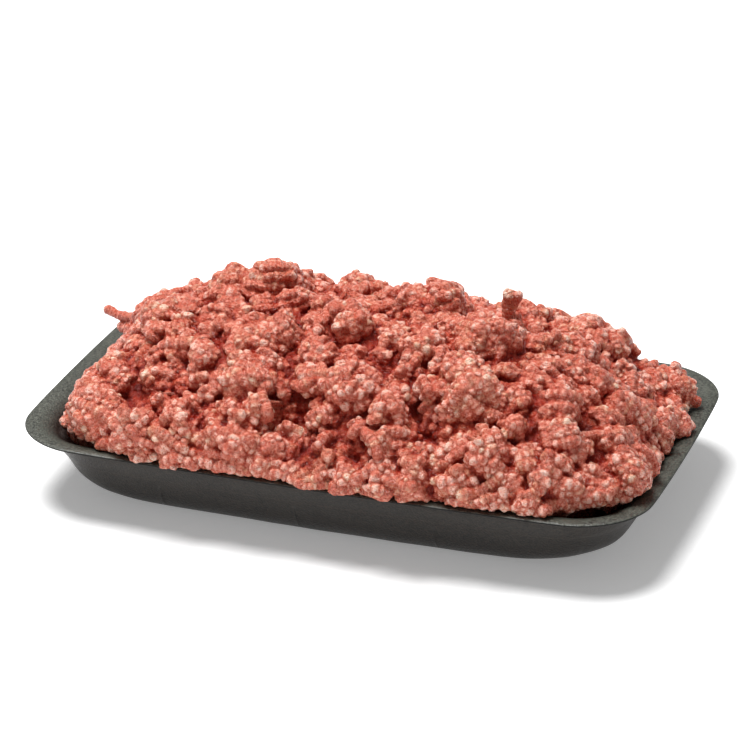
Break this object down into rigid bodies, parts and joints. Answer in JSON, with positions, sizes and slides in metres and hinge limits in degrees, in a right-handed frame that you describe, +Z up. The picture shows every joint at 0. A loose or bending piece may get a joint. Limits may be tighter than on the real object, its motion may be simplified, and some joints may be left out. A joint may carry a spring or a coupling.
{
  "type": "tray of raw minced meat",
  "caption": "Shallow black foam food tray with a flat lip, heaped well above its rim with loose raw minced meat in soft strands and granules.",
  "frame": {"origin": "middle of the tray's flat underside, on the surface it stands on", "axes": "+X along the tray's long side, +Y across it, +Z up"},
  "size_m": [0.225, 0.1394, 0.0695],
  "materials": {
    "foam": "matte black expanded foam with a fine speckled skin",
    "meat": "moist raw minced meat, lean red-pink strands with cream fat granules"
  },
  "bodies": {
    "root": {"foam_tray": "foam", "mince": "meat"}
  },
  "joints": []
}
